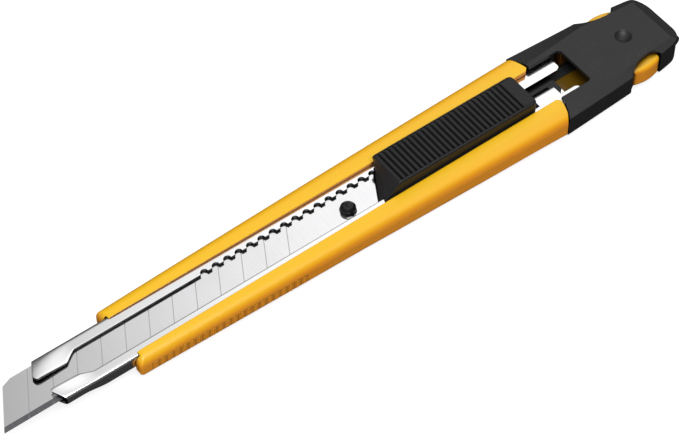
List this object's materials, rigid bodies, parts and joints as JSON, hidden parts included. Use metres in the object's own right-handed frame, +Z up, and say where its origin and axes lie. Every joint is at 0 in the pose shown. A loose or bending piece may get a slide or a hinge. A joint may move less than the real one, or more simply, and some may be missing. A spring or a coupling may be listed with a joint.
{
  "type": "utility knife",
  "caption": "Slim snap-off utility knife: segmented blade in a steel channel, yellow handle, ribbed thumb slider, pull-off black tail cap with squeeze buttons and pocket clip.",
  "frame": {"origin": "centre of the length and width, at the lowest point, under the pocket clip, with the knife lying on its back", "axes": "+X from the blade's point to the tail, +Y towards the blade's spine, +Z up through the thumb slider"},
  "size_m": [0.1538, 0.0191, 0.009],
  "materials": {
    "blade_steel": "ground and polished carbon steel, fine grain across the width",
    "channel_steel": "bright rolled stainless sheet",
    "yellow_plastic": "smooth moulded ABS, satin gloss",
    "black_plastic": "fine matt moulded plastic",
    "pad_plastic": "matt moulded plastic",
    "carrier_plastic": "slippery acetal, slightly shiny",
    "spring_steel": "spring temper strip",
    "latch_plastic": "smooth moulded acetal, satin gloss",
    "clip_steel": "brushed spring steel"
  },
  "bodies": {
    "handle": {"handle_body": "yellow_plastic", "blade_channel": "channel_steel"},
    "slider": {"thumb_slider": "pad_plastic", "blade_carrier": "carrier_plastic", "blade": "blade_steel"},
    "lock": {"lock_spring": "spring_steel"},
    "cap": {"tail_cap": "black_plastic", "latch_yoke": "latch_plastic", "pocket_clip": "clip_steel"},
    "spine_latch": {"latch_arm_spine_side": "latch_plastic"},
    "edge_latch": {"latch_arm_edge_side": "latch_plastic"}
  },
  "joints": [
    {"name": "blade_slide", "type": "slide", "parent": "handle", "child": "slider", "axis": [-1, 0, 0], "range_m": [-0.0125, 0.0475]},
    {"name": "lock_lift", "type": "hinge", "parent": "slider", "child": "lock", "pos_m": [0.0125, 0.0013, 0.0056], "axis": [0, 0, -1], "range_deg": [0, 7.5], "stiffness_Nm_per_rad": 0.02},
    {"name": "cap_pull", "type": "slide", "parent": "handle", "child": "cap", "axis": [1, 0, 0], "range_m": [0, 0.03]},
    {"name": "spine_button_squeeze", "type": "hinge", "parent": "cap", "child": "spine_latch", "pos_m": [0.0702, 0.0047, 0.0046], "axis": [0, 0, 1], "range_deg": [0, 6], "stiffness_Nm_per_rad": 0.05},
    {"name": "edge_button_squeeze", "type": "hinge", "parent": "cap", "child": "edge_latch", "pos_m": [0.0702, -0.0047, 0.0046], "axis": [0, 0, -1], "range_deg": [0, 6], "stiffness_Nm_per_rad": 0.05}
  ]
}
